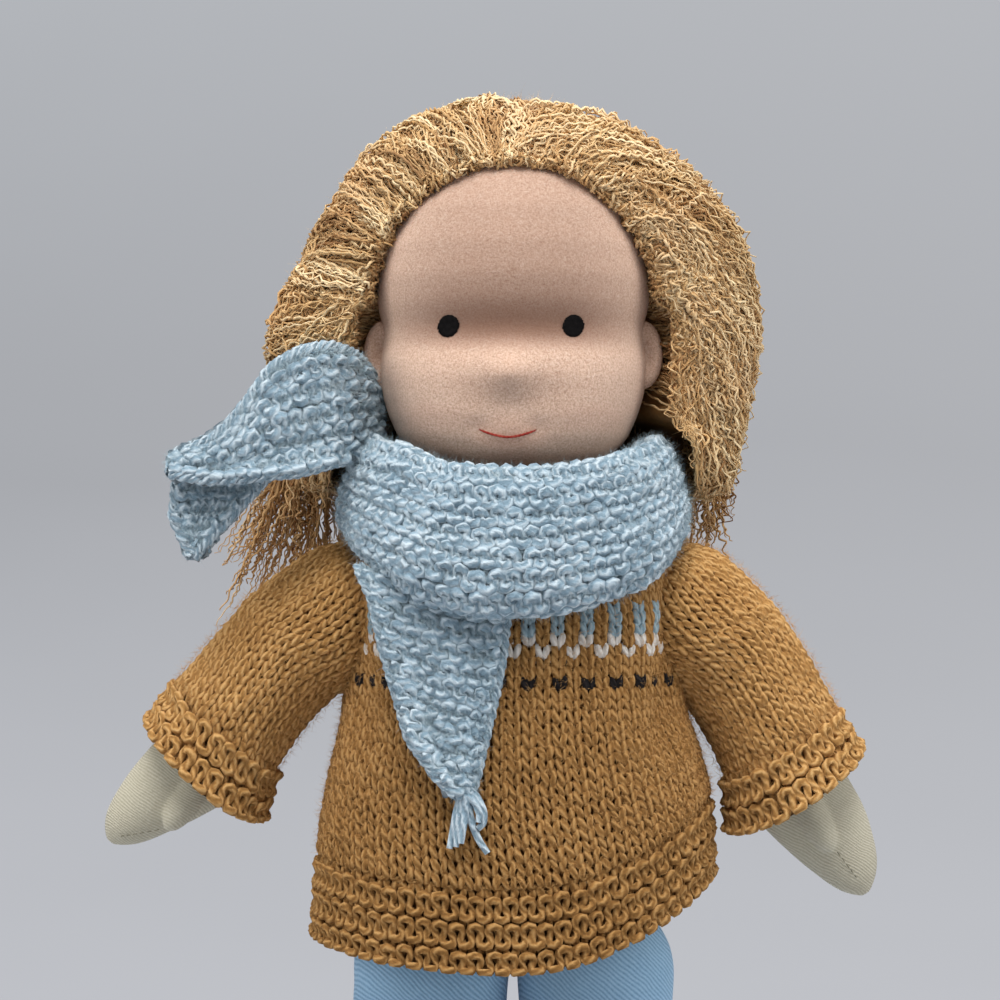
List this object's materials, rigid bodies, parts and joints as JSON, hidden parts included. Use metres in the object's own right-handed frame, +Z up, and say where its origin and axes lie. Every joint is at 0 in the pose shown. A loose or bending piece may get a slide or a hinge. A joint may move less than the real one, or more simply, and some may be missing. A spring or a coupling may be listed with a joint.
{
  "type": "sewn cloth doll",
  "caption": "Soft jointed cloth doll with long wavy hair, patterned knit sweater, garter-stitch scarf and twill trousers, standing on flat soles.",
  "frame": {"origin": "centre of the doll's outer box at the floor under its soles", "axes": "+Z up, the doll faces -Y, its own right side is at -X"},
  "size_m": [0.2236, 0.1064, 0.417],
  "materials": {
    "skin": "matte cotton jersey",
    "wool": "matte wool stuffing and thread",
    "thread_black": "embroidery thread",
    "thread_red": "embroidery thread",
    "hair": "curly mohair yarn",
    "cap": "matte crocheted cap",
    "sweater": "matte knitted wool",
    "scarf": "fuzzy knitted wool",
    "hand": "matte ribbed jersey",
    "twill": "matte cotton twill"
  },
  "bodies": {
    "torso": {"torso_core": "wool", "torso_skin": "skin", "neck_tie": "wool", "sweater_yoke": "sweater", "sweater_body": "sweater", "sweater_hem": "sweater", "scarf_wrap": "scarf", "scarf_front_tail": "scarf", "scarf_tassel": "scarf", "scarf_side_tail": "scarf", "trouser_seat": "twill", "waistband": "twill"},
    "neck": {"neck": "skin"},
    "head": {"head_core": "wool", "head_skin": "skin", "ear_right": "skin", "ear_left": "skin", "eye_right": "thread_black", "eye_left": "thread_black", "mouth": "thread_red", "wig_cap": "cap", "hair_crown": "hair", "hair_right": "hair", "hair_back": "hair", "hair_left": "hair", "hair_fall": "hair"},
    "right_shoulder": {"shoulder_tab_right": "skin"},
    "right_arm": {"arm_core_right": "wool", "arm_skin_right": "hand", "thumb_right": "hand", "sleeve_right": "sweater", "cuff_right": "sweater"},
    "left_shoulder": {"shoulder_tab_left": "skin"},
    "left_arm": {"arm_core_left": "wool", "arm_skin_left": "hand", "thumb_left": "hand", "sleeve_left": "sweater", "cuff_left": "sweater"},
    "right_leg": {"leg_core_right": "wool", "leg_skin_right": "hand", "trouser_leg_right": "twill", "turn_up_right": "twill"},
    "left_leg": {"leg_core_left": "wool", "leg_skin_left": "hand", "trouser_leg_left": "twill", "turn_up_left": "twill"}
  },
  "joints": [
    {"name": "head_turn", "type": "hinge", "parent": "torso", "child": "neck", "pos_m": [0.00535, -0.00275, 0.318], "axis": [0, 0, 1], "range_deg": [-35, 35], "deforming": ["hair_fall", "scarf_side_tail"]},
    {"name": "head_nod", "type": "hinge", "parent": "neck", "child": "head", "pos_m": [0.00535, -0.00275, 0.318], "axis": [1, 0, 0], "range_deg": [-8, 8]},
    {"name": "right_arm_swing", "type": "hinge", "parent": "torso", "child": "right_shoulder", "pos_m": [-0.04365, -0.00275, 0.266], "axis": [-1, 0, 0], "range_deg": [-30, 90]},
    {"name": "right_arm_lift", "type": "hinge", "parent": "right_shoulder", "child": "right_arm", "pos_m": [-0.04365, -0.00275, 0.266], "axis": [0, 1, 0], "range_deg": [-8, 50]},
    {"name": "left_arm_swing", "type": "hinge", "parent": "torso", "child": "left_shoulder", "pos_m": [0.05435, -0.00275, 0.266], "axis": [-1, 0, 0], "range_deg": [-30, 90]},
    {"name": "left_arm_lift", "type": "hinge", "parent": "left_shoulder", "child": "left_arm", "pos_m": [0.05435, -0.00275, 0.266], "axis": [0, -1, 0], "range_deg": [-1, 58]},
    {"name": "right_hip", "type": "hinge", "parent": "torso", "child": "right_leg", "pos_m": [-0.01865, -0.00275, 0.165], "axis": [-1, 0, 0], "range_deg": [-20, 90], "deforming": ["sweater_hem"]},
    {"name": "left_hip", "type": "hinge", "parent": "torso", "child": "left_leg", "pos_m": [0.02935, -0.00275, 0.165], "axis": [-1, 0, 0], "range_deg": [-20, 90]}
  ]
}
